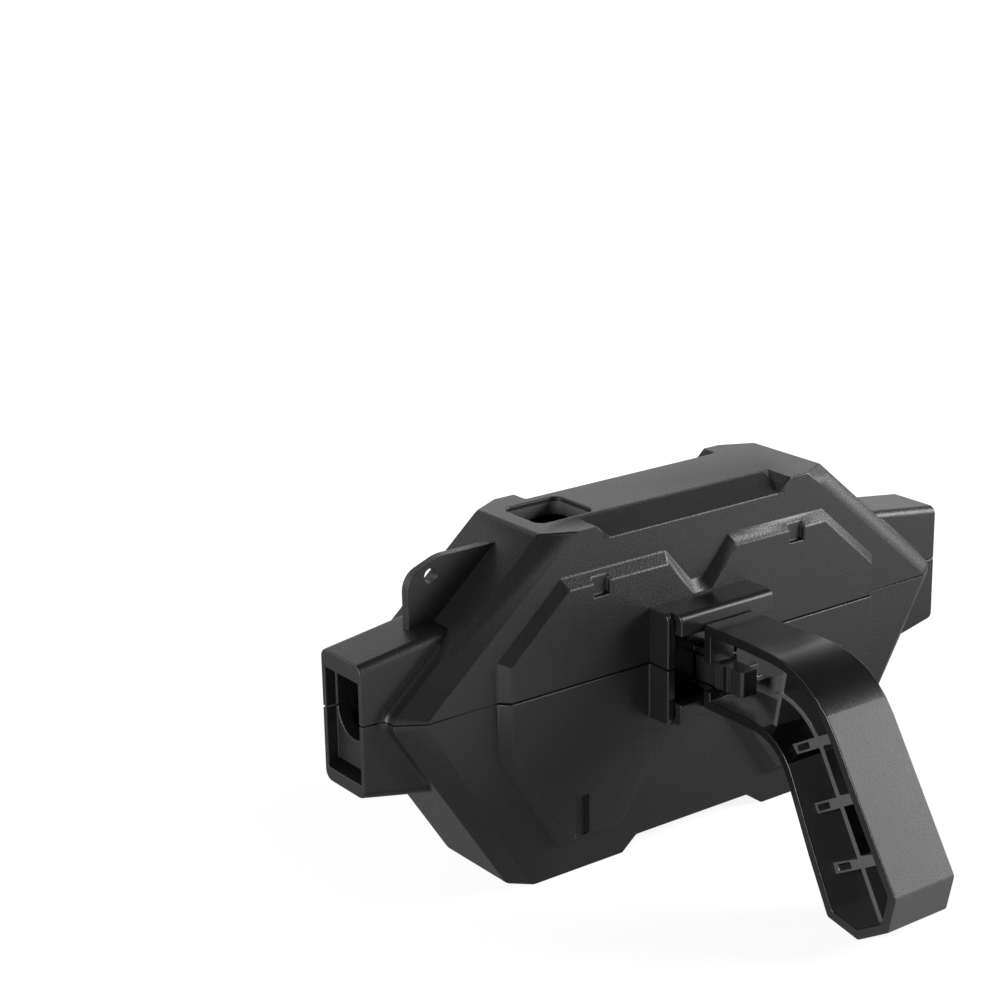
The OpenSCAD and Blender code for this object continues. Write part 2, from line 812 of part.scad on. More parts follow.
module release_lever() {
    back = -panel_y - foot_gap - foot_web_t - lever_slot_gap;
    front = -arm_start_y - lever_len;
    left = lever_x - lever_w / 2;
    color([0.11, 0.11, 0.12]) difference() {
        union() {
            translate([0, 0, lever_mid_z - lever_h / 2]) {
                translate([left, front + lever_tip_r, 0])
                    cube([lever_w, back - front - lever_tip_r, lever_h]);
                translate([left + lever_tip_r, front + lever_tip_r, 0])
                    cylinder(r = lever_tip_r, h = lever_h);
                translate([left + lever_tip_r, front, 0])
                    cube([lever_w - lever_tip_r, lever_w / 2, lever_h]);
            }
            for (k = [0:lever_rib_count - 1])
                box([left - lever_rib_out,
                        -arm_start_y - handle_wall / 2 - k * lever_rib_pitch - lever_rib_t,
                        lever_mid_z - lever_h / 2],
                    [lever_x, -arm_start_y - handle_wall / 2 - k * lever_rib_pitch,
                        lever_mid_z + lever_h / 2]);
        }
        translate([lever_x, -lever_pivot_y, lever_mid_z - lever_h])
            cylinder(r = lever_pin_r + fit_gap, h = 2 * lever_h);
    }
}

module lever_pin() {
    half = lever_h / 2 + lever_slot_gap + lever_pin_over;
    color([0.7, 0.7, 0.72]) translate([lever_x, -lever_pivot_y, lever_mid_z - half])
        cylinder(r = lever_pin_r, h = 2 * half);
}

// Places a wheel's part: x is left or right, z above or below the chain
module at_wheel(side_x, side_z) {
    translate([side_x * axle_pitch / 2, 0, side_z * axle_z]) rotate([90, 0, 0]) children();
}

module brush_hub() {
    color([0.75, 0.2, 0.16]) difference() {
        union() {
            cylinder(r = drum_r, h = brush_w, center = true);
            for (side = [-1, 1])
                translate([0, 0, side * (brush_w - flange_t) / 2])
                    cylinder(r = drum_r + flange_over, h = flange_t, center = true);
        }
        cylinder(r = axle_r + fit_gap, h = brush_w + 2 * overrun, center = true);
    }
}

// Rows of bristle tufts, pressed into the drum
module wheel_bristles() {
    pitch = (brush_w - 2 * flange_t) / tuft_rows;
    color([0.9, 0.9, 0.86])
        for (row = [0:tuft_rows - 1])
            for (k = [0:tufts_round - 1])
                translate([0, 0, (row - (tuft_rows - 1) / 2) * pitch])
                    rotate([0, 90, (k + row / 2) * 360 / tufts_round])
                        translate([0, 0, drum_r - tuft_in])
                            cylinder(r = tuft_r, h = brush_r - drum_r + tuft_in, $fn = 16);
}

module axle() {
    color([0.7, 0.7, 0.72]) cylinder(r = axle_r, h = axle_len, center = true);
}

// Strip on the inside of the case that carries the side bristles
module side_strip() {
    box([side_mid_x - side_len / 2, cradle_inner_y, side_top - side_h],
        [side_mid_x + side_len / 2, inner_y, side_top]);
}

module side_tufts() {
    for (column = [0:side_columns - 1])
        for (row = [0:side_rows - 1])
            translate([side_mid_x + ((column + 0.5) / side_columns - 0.5) * side_len,
                    cradle_inner_y + tuft_in, side_top - side_h * (row + 0.5) / side_rows])
                rotate([90, 0, 0])
                    cylinder(r = side_tuft_r, h = cradle_inner_y + tuft_in - side_tip_y, $fn = 16);
}

module side_brush_front() {
    color([0.75, 0.2, 0.16]) mirror([0, 1, 0]) side_strip();
}

module side_brush_rear() {
    color([0.75, 0.2, 0.16]) side_strip();
}

module side_bristles_front() {
    color([0.9, 0.9, 0.86]) mirror([0, 1, 0]) side_tufts();
}

module side_bristles_rear() {
    color([0.9, 0.9, 0.86]) side_tufts();
}

module sponge_pad() {
    color([0.85, 0.8, 0.35])
        box([sponge_start_x + fit_gap, -sponge_w / 2, sponge_near_z],
            [sponge_start_x + sponge_len - fit_gap, sponge_w / 2, sponge_far_z]);
}

module sponge_upper() { sponge_pad(); }

module sponge_lower() { mirror([0, 0, 1]) sponge_pad(); }

module magnet() {
    color([0.6, 0.6, 0.62]) translate([0, 0, -base_h + relief_h + wall])
        cylinder(r = magnet_r, h = magnet_t);
}

lower_case();
lid();
hinge_pin();
handle();
release_lever();
lever_pin();
at_wheel(-1, 1) brush_hub();  // lid_hub_left
at_wheel(1, 1) brush_hub();  // lid_hub_right
at_wheel(-1, -1) brush_hub();  // base_hub_left
at_wheel(1, -1) brush_hub();  // base_hub_right
at_wheel(-1, 1) wheel_bristles();  // lid_bristles_left
at_wheel(1, 1) wheel_bristles();  // lid_bristles_right
at_wheel(-1, -1) wheel_bristles();  // base_bristles_left
at_wheel(1, -1) wheel_bristles();  // base_bristles_right
at_wheel(-1, 1) axle();  // lid_axle_left
at_wheel(1, 1) axle();  // lid_axle_right
at_wheel(-1, -1) axle();  // base_axle_left
at_wheel(1, -1) axle();  // base_axle_right
side_brush_front();
side_brush_rear();
side_bristles_front();
side_bristles_rear();
sponge_upper();
sponge_lower();
magnet();
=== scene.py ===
import math
import random

import bmesh
import bpy
from mathutils import Matrix, Vector, bvhtree, geometry, noise


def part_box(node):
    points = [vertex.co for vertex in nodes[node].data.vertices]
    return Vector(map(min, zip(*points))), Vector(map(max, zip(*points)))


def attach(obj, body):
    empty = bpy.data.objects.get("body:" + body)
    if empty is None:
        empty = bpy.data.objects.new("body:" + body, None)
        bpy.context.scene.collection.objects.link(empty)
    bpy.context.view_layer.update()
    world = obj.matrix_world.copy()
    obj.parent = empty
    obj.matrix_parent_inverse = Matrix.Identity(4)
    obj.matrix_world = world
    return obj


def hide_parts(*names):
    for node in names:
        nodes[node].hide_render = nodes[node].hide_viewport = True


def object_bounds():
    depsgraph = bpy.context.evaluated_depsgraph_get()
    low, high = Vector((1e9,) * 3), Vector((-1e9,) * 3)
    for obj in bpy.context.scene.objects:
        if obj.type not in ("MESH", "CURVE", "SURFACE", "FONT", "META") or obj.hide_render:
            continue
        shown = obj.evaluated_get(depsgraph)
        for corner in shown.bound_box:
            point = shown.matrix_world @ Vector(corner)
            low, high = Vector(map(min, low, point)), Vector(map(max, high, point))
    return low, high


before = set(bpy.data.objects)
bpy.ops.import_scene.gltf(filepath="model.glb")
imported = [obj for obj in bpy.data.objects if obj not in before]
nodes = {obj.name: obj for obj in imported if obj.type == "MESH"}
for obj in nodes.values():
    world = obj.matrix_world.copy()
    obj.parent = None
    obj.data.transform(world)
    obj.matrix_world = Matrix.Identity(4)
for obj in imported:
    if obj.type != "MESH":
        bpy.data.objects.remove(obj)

cad_low, cad_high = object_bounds()

# Sizes of the cleaner are in millimetres, and MM turns them into metres where they are used
MM = 0.001

HALVES_AND_SIDES = (("lid", "left"), ("lid", "right"), ("base", "left"), ("base", "right"))
SIDE_BRUSH_ENDS = ("front", "rear")


# Shader maths

# Places of the Mix node's colour sockets, two that go in and one that comes out
MIX_COLOURS = (6, 7)
MIXED_COLOUR = 2


class Value:
    """A node's output. Arithmetic on it adds Math nodes to its tree."""

    def __init__(self, finish, socket):
        self.finish = finish
        self.socket = socket

    def math(self, operation, *terms):
        return self.finish.node("ShaderNodeMath", {"operation": operation}, *terms)

    def __add__(self, other):
        return self.math("ADD", self, other)

    __radd__ = __add__

    def __sub__(self, other):
        return self.math("SUBTRACT", self, other)

    def __rsub__(self, other):
        return self.math("SUBTRACT", other, self)

    def __mul__(self, other):
        return self.math("MULTIPLY", self, other)

    __rmul__ = __mul__

    def above(self, limit):
        return self.math("GREATER_THAN", self, limit)

    def below(self, limit):
        return self.math("LESS_THAN", self, limit)

    def held(self):
        return self.finish.node("ShaderNodeClamp", {}, self)


class Finish:
    """The nodes of a material or a world. node() adds any node: its type, settings and inputs."""

    def __init__(self, owner):
        owner.use_nodes = True
        self.owner = owner
        self.tree = owner.node_tree
        self.tree.nodes.clear()

    def node(self, kind, settings=None, *inputs, out=0, **named):
        made = self.tree.nodes.new(kind)
        for key, setting in (settings or {}).items():
            setattr(made, key, setting)
        for key, given in list(enumerate(inputs)) + list(named.items()):
            socket = made.inputs[key.replace("_", " ") if isinstance(key, str) else key]
            if isinstance(given, Value):
                self.tree.links.new(given.socket, socket)
            else:
                socket.default_value = given
        return Value(self, made.outputs[out] if len(made.outputs) else None)

    def place(self, kind="Object"):
        """Texture coordinates as a vector and as its three parts."""
        spot = self.node("ShaderNodeTexCoord", out=kind)
        parts = self.node("ShaderNodeSeparateXYZ", {}, spot)
        outputs = parts.socket.node.outputs
        return spot, [Value(self, outputs[axis]) for axis in range(3)]

    def noise(self, spot, scale, detail=3.0, rough=0.5):
        return self.node("ShaderNodeTexNoise", {}, Vector=spot, Scale=scale, Detail=detail,
                         Roughness=rough)

    def ramp(self, value, start, end, first, last):
        """A soft step from first to last while value runs from start to end."""
        return self.node("ShaderNodeMapRange", {"interpolation_type": "SMOOTHSTEP"}, value,
                         start, end, first, last)

    def blend(self, share, first, second):
        """Mix of two colours by a share."""
        mixed = self.node("ShaderNodeMix", {"data_type": "RGBA"}, share, out=MIXED_COLOUR)
        for place, colour in zip(MIX_COLOURS, (first, second)):
            mixed.socket.node.inputs[place].default_value = colour
        return mixed

    def surface(self, **sockets):
        shader = self.node("ShaderNodeBsdfPrincipled", {}, **sockets)
        self.node("ShaderNodeOutputMaterial", {}, shader)
        return self.owner


def grey(level):
    return (level, level, level, 1)


# Materials of the cleaner

# Noise scales, in waves to the metre
PATCHY_SCALE = 28
GRAIN_SCALE = 1300
GRIP_GRAIN_SCALE = 2300
SPECKS_TO_GRAIN = 2.6
TURNING_SCALE = 2600
STAIN_SCALE = 60
SHEEN_SCALE = 900
RIDGE_SCALE = 5200
CELL_SCALE = 950.0
PORE_SCALE = 420

# Depths of the finest relief
TURNING_DEPTH = 0.01
RIDGE_DEPTH = 0.02
CELL_DEPTH = 0.4

NYLON_SHADES = ((0.012, 0.012, 0.013, 1), (0.05, 0.05, 0.052, 1))
FOAM_SHADED_PORE_AND_NET = ((0.42, 0.3, 0.06, 1), (0.8, 0.66, 0.22, 1))


def inside_box(parts, low, high):
    """1 inside the box between two corners, 0 outside it."""
    share = 1.0
    for part, least, most in zip(parts, low, high):
        share = part.above(least * MM) * part.below(most * MM) * share
    return share


def moulded_plastic(name, level, rough, grain, patches=(), scale=GRAIN_SCALE):
    """Black moulded plastic with a fine spark grain. patches are (box, level, rough, grain share)."""
    f = Finish(bpy.data.materials.new(name))
    spot, parts = f.place()
    broad = f.noise(spot, PATCHY_SCALE, 2)
    fine = f.noise(spot, scale, 3, 0.6)
    speck = f.noise(spot, SPECKS_TO_GRAIN * scale, 1)
    base, roughness, depth = level, rough, 1.0
    for (low, high), patch_level, patch_rough, patch_grain in patches:
        share = inside_box(parts, low, high)
        base = share * (patch_level - base) + base
        roughness = share * (patch_rough - roughness) + roughness
        depth = share * (patch_grain - depth) + depth
    worn = broad * 0.5 + fine * 0.5
    tone = (worn * 0.6 + 0.7) * base
    colour = f.node("ShaderNodeCombineColor", {}, tone, tone, tone * 1.03)
    roughness = (broad - 0.5) * 0.08 + (fine - 0.5) * 0.12 + roughness
    height = (fine * 0.7 + speck * 0.3) * depth
    bump = f.node("ShaderNodeBump", {}, Strength=1.0, Distance=grain * MM, Height=height)
    return f.surface(Base_Color=colour, Roughness=roughness, Normal=bump)


def turned_steel(name, level, rough):
    """Steel with fine turning marks and a faint stain."""
    f = Finish(bpy.data.materials.new(name))
    spot, _ = f.place()
    marks = f.noise(spot, TURNING_SCALE, 2)
    stain = f.noise(spot, STAIN_SCALE, 3)
    colour = f.blend(stain, grey(level * 0.85), grey(level))
    bump = f.node("ShaderNodeBump", {}, Strength=0.4, Distance=TURNING_DEPTH * MM,
                  Height=marks)
    return f.surface(Base_Color=colour, Metallic=1.0, Roughness=rough + marks * 0.12, Normal=bump)


def nylon(name):
    """Dark nylon filaments in slightly uneven shades, with fine ridges."""
    f = Finish(bpy.data.materials.new(name))
    spot, _ = f.place()
    shade = f.noise(spot, SHEEN_SCALE, 2)
    colour = f.blend(shade, *NYLON_SHADES)
    ridges = f.noise(spot, RIDGE_SCALE, 1)
    bump = f.node("ShaderNodeBump", {}, Strength=0.3, Distance=RIDGE_DEPTH * MM,
                  Height=ridges)
    return f.surface(Base_Color=colour, Roughness=shade * 0.15 + 0.3, Normal=bump)


def open_foam(name):
    """Yellow open-cell foam: pores painted darker as shade, in a pale net."""
    f = Finish(bpy.data.materials.new(name))
    spot, _ = f.place()
    cells = f.node("ShaderNodeTexVoronoi", {"feature": "F1"}, Vector=spot, Scale=CELL_SCALE)
    pores = f.noise(spot, PORE_SCALE, 4, 0.7)
    depth = (cells * 1.4 * pores + pores * 0.4).held()
    # Painted shade: the deeper a spot of the relief, the darker its colour
    colour = f.blend(depth, *FOAM_SHADED_PORE_AND_NET)
    bump = f.node("ShaderNodeBump", {}, Strength=1.0, Distance=CELL_DEPTH * MM,
                  Height=depth)
    return f.surface(Base_Color=colour, Roughness=0.85 + pores * 0.1, Normal=bump)


# Zones of the case whose mould was finished otherwise; in the filler hole a lighter colour is painted
# light, and in the notch a darker colour is painted shade
RAIL_BOX = ((-21.5, -35.0, -18.0), (18.5, -22.55, 18.0))
NOTCH_PAINTED_SHADE_BOX = ((-34.5, -19.8, 39.8), (34.5, -10.0, 43.88))
FILLER_PAINTED_LIGHT_BOX = ((-47.8, -7.8, 25.0), (-27.4, 10.6, 42.5))
case_black = moulded_plastic("case_black", level=0.009, rough=0.43, grain=0.14, patches=(
    (RAIL_BOX, 0.008, 0.33, 0.06),
    # Painted light: the filler hole's walls get a much lighter colour, as if lit inside; rougher
    # grain is their own finish
    (FILLER_PAINTED_LIGHT_BOX, 0.08, 0.6, 1.0),
    # Painted shade: the notch gets a darker colour than the case around it
    (NOTCH_PAINTED_SHADE_BOX, 0.004, 0.75, 1.0)))
handle_black = moulded_plastic("handle_black", level=0.008, rough=0.24, grain=0.006)
# The grip's front faces: a rougher grained finish of their own, and a lighter colour that is painted
# light from the lamp in front
grip_grain_and_painted_light = moulded_plastic("grip_grain_and_painted_light", level=0.085, rough=0.56, grain=0.12,
                             scale=GRIP_GRAIN_SCALE)
# Painted light: the inside of the handle's channel is the same plastic, given a much lighter colour
# as if lit inside
channel_painted_light = moulded_plastic("channel_painted_light", level=0.075, rough=0.3, grain=0.008)
lever_black = moulded_plastic("lever_black", level=0.014, rough=0.3, grain=0.01)
brush_grey = moulded_plastic("brush_grey", level=0.035, rough=0.4, grain=0.02)
pin_steel = turned_steel("pin_steel", level=0.6, rough=0.28)
magnet_nickel = turned_steel("magnet_nickel", level=0.66, rough=0.18)
bristle_nylon = nylon("bristle_nylon")
sponge_foam = open_foam("sponge_foam")


# Modelling by hand

SMOOTH_ANGLE = math.radians(42)


def deselect_all():
    bpy.ops.object.select_all(action="DESELECT")


def hold(obj):
    """Makes obj the one selected and active object."""
    deselect_all()
    bpy.context.view_layer.objects.active = obj
    obj.select_set(True)


def edit(obj):
    hold(obj)
    bpy.ops.object.mode_set(mode="EDIT")


def leave_edit():
    bpy.ops.object.mode_set(mode="OBJECT")


def apply_modifier(obj, kind, **settings):
    hold(obj)
    modifier = obj.modifiers.new(kind.lower(), kind)
    for key, setting in settings.items():
        setattr(modifier, key, setting)
    bpy.ops.object.modifier_apply(modifier=modifier.name)


def join(objects):
    """Joins objects into the first one, which is left held."""
    hold(objects[0])
    for obj in objects:
        obj.select_set(True)
    bpy.ops.object.join()
    hold(objects[0])
    return objects[0]


def settle(obj, place=Matrix.Identity(4)):
    """Puts the object's place, and a further one, into its mesh."""
    obj.data.transform(place @ obj.matrix_world)
    obj.matrix_world = Matrix.Identity(4)


def finish_piece(obj, body, material, stands_for):
    obj.data.materials.clear()
    obj.data.materials.append(material)
    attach(obj, body)
    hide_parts(stands_for)


# Rounded copies of the rigid nodes

MERGE_WITHIN = 0.12
FLAT_ANGLE = math.radians(0.5)
SHARP_ANGLE = math.radians(28)
NEARLY_STRAIGHT = 3.1
ROOM_SHARE = 0.45
FOLD_DEPTH = 0.35
FOLD_REACH = 1.2
SLIVER_AREA = 0.001
ROUNDING_TRIES = 8
EDGE_SEGMENTS = 3


def merged_copy(node, name):
    """The CAD node's shape with one face for each flat side, ready to be rounded."""
    obj = bpy.data.objects.new(name, nodes[node].data.copy())
    bpy.context.scene.collection.objects.link(obj)
    hold(obj)
    if obj.data.has_custom_normals:
        bpy.ops.mesh.customdata_custom_splitnormals_clear()
    edit(obj)
    bpy.ops.mesh.select_all(action="SELECT")
    bpy.ops.mesh.remove_doubles(threshold=MERGE_WITHIN * MM)
    bpy.ops.mesh.dissolve_limited(angle_limit=FLAT_ANGLE)
    bpy.ops.mesh.select_all(action="SELECT")
    bpy.ops.mesh.normals_make_consistent(inside=False)
    leave_edit()
    return obj


def room_beside(edge, sharp):
    """Largest radius that edge can take before it runs past the ends of its neighbours."""
    room = 1.0
    for vert in edge.verts:
        along = edge.other_vert(vert).co - vert.co
        for beside in vert.link_edges:
            if beside is edge or not set(beside.link_faces) & set(edge.link_faces):
                continue
            other = beside.other_vert(vert).co - vert.co
            angle = along.angle(other)
            if beside not in sharp:
                room = min(room, ROOM_SHARE * other.length * math.sin(angle))
            elif angle < NEARLY_STRAIGHT:
                room = min(room, ROOM_SHARE * other.length * math.tan(angle / 2))
    return room


def near_any(spots, ends, reach):
    """Whether one of the spots lies within reach of the line between two ends."""
    for spot in spots:
        share = geometry.intersect_point_line(spot, *ends)[1]
        if (ends[0].lerp(ends[1], min(max(share, 0), 1)) - spot).length < reach:
            return True
    return False


def weigh_edges(obj, radius_of, kept_sharp):
    """Writes each sharp edge's radius as its bevel weight; returns the largest radius."""
    mesh = bmesh.new()
    mesh.from_mesh(obj.data)
    weights = mesh.edges.layers.float.new("bevel_weight_edge")
    sharp = {e for e in mesh.edges
             if len(e.link_faces) == 2 and e.calc_face_angle(0) > SHARP_ANGLE}
    largest = 0
    for edge in sharp:
        ends = [v.co for v in edge.verts]
        radius = min(radius_of((ends[0] + ends[1]) / 2), room_beside(edge, sharp))
        if near_any(kept_sharp, ends, FOLD_REACH * MM):
            radius = 0
        edge[weights] = radius
        largest = max(largest, radius)
    for edge in sharp:
        edge[weights] /= largest
    mesh.to_mesh(obj.data)
    mesh.free()
    return largest


def folds(obj, tree):
    """Places where the rounded shape has left the shape it was made from."""
    found = []
    mesh = obj.data
    mesh.calc_loop_triangles()
    for vert in mesh.vertices:
        if tree.find_nearest(vert.co)[3] > FOLD_DEPTH * MM:
            found.append(vert.co.copy())
    for tri in mesh.loop_triangles:
        corners = [mesh.vertices[i].co for i in tri.vertices]
        normal = (corners[1] - corners[0]).cross(corners[2] - corners[0])
        if normal.length / 2 < SLIVER_AREA * MM ** 2:
            continue
        middle = sum(corners, Vector()) / 3
        if (normal.dot(mesh.polygons[tri.polygon_index].normal) < 0
                or tree.find_nearest(middle)[3] > FOLD_DEPTH * MM):
            found.extend(c.copy() for c in corners)
    return found


def round_edges(obj, radius_of):
    """Rounds the sharp edges; where that makes a fold, the edges beside it stay sharp."""
    plain = obj.data.copy()
    shape = bmesh.new()
    shape.from_mesh(plain)
    bmesh.ops.triangulate(shape, faces=shape.faces[:])
    tree = bvhtree.BVHTree.FromBMesh(shape)
    shape.free()
    kept_sharp = []
    for _ in range(ROUNDING_TRIES):
        largest = weigh_edges(obj, radius_of, kept_sharp)
        apply_modifier(obj, "BEVEL", limit_method="WEIGHT", width=largest,
                       segments=EDGE_SEGMENTS, use_clamp_overlap=False,
                       miter_outer="MITER_ARC")
        found = folds(obj, tree)
        if not found:
            break
        kept_sharp += found
        obj.data = plain.copy()
    hold(obj)
    bpy.ops.object.shade_smooth_by_angle(angle=SMOOTH_ANGLE, keep_sharp_edges=False)
    apply_modifier(obj, "WEIGHTED_NORMAL", mode="FACE_AREA", weight=50, keep_sharp=True)


def rounded_piece(node, ending, body, material, radius):
    """A node's rounded copy; radius is in millimetres, or a function of the place."""
    obj = merged_copy(node, node + ending)
    round_edges(obj, radius if callable(radius) else lambda spot: radius * MM)
    finish_piece(obj, body, material, node)
    return obj


# Case, handle and lever

OUTER_EDGE_R = 0.45
INNER_EDGE_R = 0.15
HANDLE_EDGE_R = 0.35
LEVER_EDGE_R = 0.2
INSIDE_OF_CASE = (103, 17.5, 40)


def case_radius(spot):
    """Full radius outside; inside, where walls and cradles stand close, a small one."""
    inside = all(abs(v) / MM < reach for v, reach in zip(spot, INSIDE_OF_CASE))
    return (INNER_EDGE_R if inside else OUTER_EDGE_R) * MM


rounded_piece("lid", "_shell", "lid", case_black, case_radius)
rounded_piece("lower_case", "_shell", "case", case_black, case_radius)

# Side view of the handle as (y, z), and the middle and inner reach of its outer bend
HANDLE_OUTLINE = ((-33.7, 12.4), (-79.3, 12.4), (-112.7, -41.3), (-110.3, -52.1), (-99.3, -58.8),
                  (-87.6, -56.6), (-65.2, -12.9), (-33.7, -12.9))
BEND_CENTRE = Vector((0, -62.1, -18.6))
BEND_INNER_REACH = 28
GRIP, CHANNEL = 1, 2
SKIN_DEPTH = 0.5
WALL_DEPTH = 2.4
CHANNEL_X = (-8, 10.5)
CHANNEL_END_Y = -36.6
GRIP_START_Y = -75
# Least cosine between a face's normal and the way out of the bend, or the way to the front
BEND_FACING = 0.5
GRIP_FACING = 0.7


def depth_in_outline(y, z):
    """How far a point of the handle lies from the edge of its side view."""
    spot = Vector((y, z, 0))
    depth = math.inf
    for start, end in zip(HANDLE_OUTLINE, HANDLE_OUTLINE[1:] + HANDLE_OUTLINE[:1]):
        start, end = Vector((*start, 0)), Vector((*end, 0))
        share = geometry.intersect_point_line(spot, start, end)[1]
        depth = min(depth, (start.lerp(end, min(max(share, 0), 1)) - spot).length)
    return depth


def on_outer_bend(face):
    """Whether a face lies on the outer side of the rounded bend."""
    from_bend = face.center / MM - BEND_CENTRE
    from_bend.x = 0
    outwards = face.normal.dot(from_bend.normalized()) > BEND_FACING
    return outwards and from_bend.length > BEND_INNER_REACH


handle_shell = rounded_piece("handle", "_shell", "handle", handle_black,
                             HANDLE_EDGE_R)
handle_shell.data.materials.append(grip_grain_and_painted_light)
handle_shell.data.materials.append(channel_painted_light)
# Faces deep in the channel take the painted-light colour; the grip's front faces take the grained
# colour, lightened as painted light
for face in handle_shell.data.polygons:
    x, y, z = (v / MM for v in face.center)
    depth = depth_in_outline(y, z)
    in_channel = CHANNEL_X[0] < x < CHANNEL_X[1] and y < CHANNEL_END_Y
    if depth > WALL_DEPTH and in_channel and not on_outer_bend(face):
        face.material_index = CHANNEL
    elif depth < SKIN_DEPTH and -face.normal.y > GRIP_FACING and y < GRIP_START_Y:
        face.material_index = GRIP

rounded_piece("release_lever", "_shell", "release_lever", lever_black,
              LEVER_EDGE_R)


# Brush wheels, axles, pins, magnet and side brushes

HUB_EDGE_R = 0.5
AXLE_EDGE_R = 0.4
PIN_EDGE_R = 0.35
MAGNET_EDGE_R = 0.4
SIDE_BRUSH_EDGE_R = 0.6
for half, side in HALVES_AND_SIDES:
    rounded_piece(f"{half}_hub_{side}", "_turned", f"{half}_brush_{side}",
                  brush_grey, HUB_EDGE_R)
    rounded_piece(f"{half}_axle_{side}", "_turned", "lid" if half == "lid" else "case",
                  pin_steel, AXLE_EDGE_R)
rounded_piece("hinge_pin", "_turned", "case", pin_steel, PIN_EDGE_R)
rounded_piece("lever_pin", "_turned", "handle", pin_steel, PIN_EDGE_R)
rounded_piece("magnet", "_disc", "case", magnet_nickel, MAGNET_EDGE_R)
for end in SIDE_BRUSH_ENDS:
    rounded_piece(f"side_brush_{end}", "_moulded", "case", brush_grey,
                  SIDE_BRUSH_EDGE_R)


# Bristles

WHEEL_HOLE_R = 1.1
SIDE_HOLE_R = 0.9
FILAMENT_R = 0.13
FILAMENT_TIP_R = 0.08
FILAMENT_SIDES = 4
FILAMENT_CUTS = 3
RING_COUNTS = (1, 6, 12)
RINGS_IN_HOLE = 2.3
SHORTEST_SHARE = 0.94
RING_SWAY = 0.12
LEAN = (0, 0.12)
CURL = (-0.1, 0.28)
SAME_SPOT = 0.002
dice = random.Random(7)


def tuft_ends(node, distance_from_root):
    """Root and tip of each tuft of a CAD bristle node, from the two rims of its round rod."""
    mesh = bmesh.new()
    mesh.from_mesh(nodes[node].data)
    bmesh.ops.remove_doubles(mesh, verts=mesh.verts[:], dist=SAME_SPOT * MM)
    ends = []
    seen = set()
    for start in mesh.verts:
        if start in seen:
            continue
        seen.add(start)
        rod = [start]
        for vert in rod:
            beside = [e.other_vert(vert) for e in vert.link_edges]
            rod.extend(v for v in beside if v not in seen)
            seen.update(beside)
        ordered = sorted((v.co for v in rod), key=distance_from_root)
        half = len(ordered) // 2
        ends.append((sum(ordered[:half], Vector()) / half, sum(ordered[half:], Vector()) / half))
    mesh.free()
    return ends


def wheel_tuft_ends(node):
    low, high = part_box(node)
    axis = (low + high) / 2
    return tuft_ends(node, lambda v: math.hypot(v.x - axis.x, v.z - axis.z))


def side_tuft_ends(node):
    return tuft_ends(node, lambda v: -abs(v.y))


def filament(length, lean, curl):
    """One filament: a tapered rod along +Z that bends towards +X."""
    deselect_all()
    bpy.ops.mesh.primitive_cone_add(vertices=FILAMENT_SIDES, radius1=FILAMENT_R * MM,
                                    radius2=FILAMENT_TIP_R * MM, depth=length,
                                    end_fill_type="NGON", location=(0, 0, length / 2))
    rod = bpy.context.object
    edit(rod)
    bpy.ops.mesh.select_mode(type="EDGE")
    bpy.ops.mesh.select_all(action="DESELECT")
    mesh = bmesh.from_edit_mesh(rod.data)
    for edge in mesh.edges:
        if abs(edge.verts[0].co.z - edge.verts[1].co.z) > length / 2:
            edge.select_set(True)
    bmesh.update_edit_mesh(rod.data)
    bpy.ops.mesh.subdivide(number_cuts=FILAMENT_CUTS)
    mesh = bmesh.from_edit_mesh(rod.data)
    for vert in mesh.verts:
        up = vert.co.z / length + 0.5
        vert.co.x += lean * up + curl * up * up
    bmesh.update_edit_mesh(rod.data)
    leave_edit()
    return rod


def tuft(length, hole_r):
    """A bundle of filaments set in one hole, in rings, which spreads towards its end."""
    rods = []
    for ring, count in enumerate(RING_COUNTS):
        for k in range(count):
            turn = k * math.tau / count + dice.uniform(-RING_SWAY, RING_SWAY)
            out = hole_r * MM * ring / RINGS_IN_HOLE
            rod = filament(length * dice.uniform(SHORTEST_SHARE, 1.0),
                           dice.uniform(*LEAN) * ring * MM, dice.uniform(*CURL) * ring * MM)
            settle(rod, Matrix.Rotation(turn, 4, "Z") @ Matrix.Translation((out, 0, 0)))
            rods.append(rod)
    bundle = join(rods)
    bpy.ops.object.shade_smooth_by_angle(angle=SMOOTH_ANGLE)
    return bundle


def plant(bundle, ends, length, name):
    """Copies of one bundle in every hole, each turned about itself at random, as one piece."""
    copies = []
    for root, tip in ends:
        copy = bundle.copy()
        copy.data = bundle.data.copy()
        bpy.context.scene.collection.objects.link(copy)
        stand = (tip - root).to_track_quat("Z", "Y").to_matrix().to_4x4()
        spin = Matrix.Rotation(dice.uniform(0, math.tau), 4, "Z")
        grow = Matrix.Scale((tip - root).length / length, 4)
        copy.data.transform(Matrix.Translation(root) @ stand @ spin @ grow)
        copies.append(copy)
    piece = join(copies)
    piece.name = name
    piece.data.name = name
    return piece


def bristle_rows(rows, ends_of, hole_r):
    """Models one tuft and plants it in each bristle node; rows are (node, body)."""
    root, tip = ends_of(rows[0][0])[0]
    length = (tip - root).length
    bundle = tuft(length, hole_r)
    for node, body in rows:
        piece = plant(bundle, ends_of(node), length, node + "_filaments")
        finish_piece(piece, body, bristle_nylon, node)
    bpy.data.objects.remove(bundle)


bristle_rows([(f"{half}_bristles_{side}", f"{half}_brush_{side}")
              for half, side in HALVES_AND_SIDES], wheel_tuft_ends, WHEEL_HOLE_R)
for end in SIDE_BRUSH_ENDS:
    bristle_rows([(f"side_bristles_{end}", "case")], side_tuft_ends, SIDE_HOLE_R)


# Sponge pads

PAD_SHARE = 0.985
PAD_EDGE_R = 1.1
PAD_EDGE_SEGMENTS = 3
PAD_CUTS = 7
PAD_CROWN = 0.45
SKIN_WAVES_TO_METRE = 420
SKIN_JITTER = 0.12


